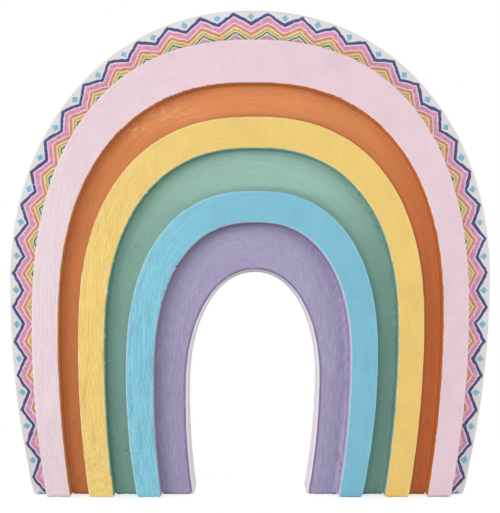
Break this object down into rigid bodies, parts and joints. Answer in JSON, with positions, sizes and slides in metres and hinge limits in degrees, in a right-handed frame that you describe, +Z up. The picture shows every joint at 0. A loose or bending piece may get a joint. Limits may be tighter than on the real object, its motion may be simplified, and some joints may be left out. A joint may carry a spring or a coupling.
{
  "type": "rainbow stacker",
  "caption": "Wooden rainbow of nested arches, shallow and deep by turns, around an open tunnel; each painted arch pulls forward out of the nest.",
  "frame": {"origin": "on the surface the stacker stands on, under the middle of its box", "axes": "+Z up, -Y towards the front where the deep arches stand proud, +X to the right seen from the front"},
  "size_m": [0.2188, 0.035, 0.2205],
  "materials": {
    "white_paint": "matte off-white paint on wood",
    "printed_paper": "matte printed paper, small many-coloured pattern on off-white",
    "pink_paint": "matte pale pink paint on wood with saw marks",
    "orange_paint": "matte burnt orange paint on wood",
    "yellow_paint": "matte soft yellow paint on wood with saw marks",
    "green_paint": "matte sage green paint on wood",
    "blue_paint": "matte sky blue paint on wood with saw marks",
    "purple_paint": "matte lavender paint on wood with brush marks"
  },
  "bodies": {
    "outer": {"outer_arch": "white_paint", "printed_facing": "printed_paper"},
    "pink": {"pink_arch": "pink_paint"},
    "orange": {"orange_arch": "orange_paint"},
    "yellow": {"yellow_arch": "yellow_paint"},
    "green": {"green_arch": "green_paint"},
    "blue": {"blue_arch": "blue_paint"},
    "purple": {"purple_arch": "purple_paint"}
  },
  "joints": [
    {"name": "pink_pull", "type": "slide", "parent": "outer", "child": "pink", "axis": [0, -1, 0], "range_m": [0, 0.06]},
    {"name": "orange_pull", "type": "slide", "parent": "outer", "child": "orange", "axis": [0, -1, 0], "range_m": [0, 0.06]},
    {"name": "yellow_pull", "type": "slide", "parent": "outer", "child": "yellow", "axis": [0, -1, 0], "range_m": [0, 0.06]},
    {"name": "green_pull", "type": "slide", "parent": "outer", "child": "green", "axis": [0, -1, 0], "range_m": [0, 0.06]},
    {"name": "blue_pull", "type": "slide", "parent": "outer", "child": "blue", "axis": [0, -1, 0], "range_m": [0, 0.06]},
    {"name": "purple_pull", "type": "slide", "parent": "outer", "child": "purple", "axis": [0, -1, 0], "range_m": [0, 0.06]}
  ]
}
